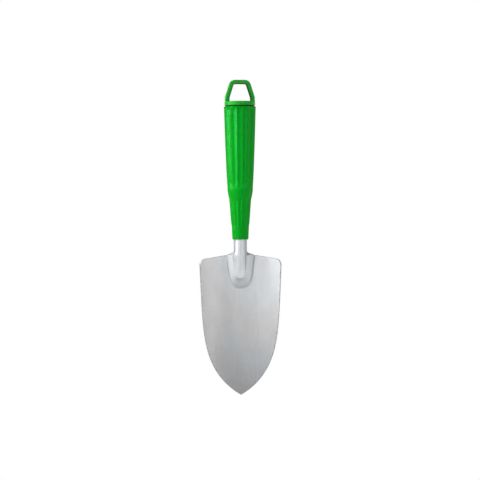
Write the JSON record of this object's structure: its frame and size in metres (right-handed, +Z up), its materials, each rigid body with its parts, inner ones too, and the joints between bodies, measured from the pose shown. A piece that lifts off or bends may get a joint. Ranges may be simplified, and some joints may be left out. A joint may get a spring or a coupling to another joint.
{
  "type": "garden trowel",
  "caption": "Hand trowel: dished pointed steel blade, rolled neck on a U-shaped boss, tapering fluted plastic handle and a trapezoid hang loop that swivels.",
  "frame": {"origin": "middle of the flat underside of the hang loop's top bar, where a hook bears", "axes": "+Z up along the handle, tip of the blade down; +X to the right seen from the hollow side; the hollow side of the blade faces -Y"},
  "size_m": [0.0822, 0.0322, 0.3148],
  "materials": {
    "cap_green": "satin moulded plastic",
    "handle_green": "glossy moulded plastic",
    "silver_lacquer": "satin silver lacquer on pressed steel",
    "pin_steel": "bright drawn steel"
  },
  "bodies": {
    "hanger": {"hang_loop": "cap_green"},
    "trowel": {"handle": "handle_green", "blade": "silver_lacquer", "collar_pin": "pin_steel"}
  },
  "joints": [
    {"name": "hang_swivel", "type": "hinge", "parent": "hanger", "child": "trowel", "pos_m": [0, 0, -0.0227], "axis": [0, 0, 1], "continuous": true}
  ]
}
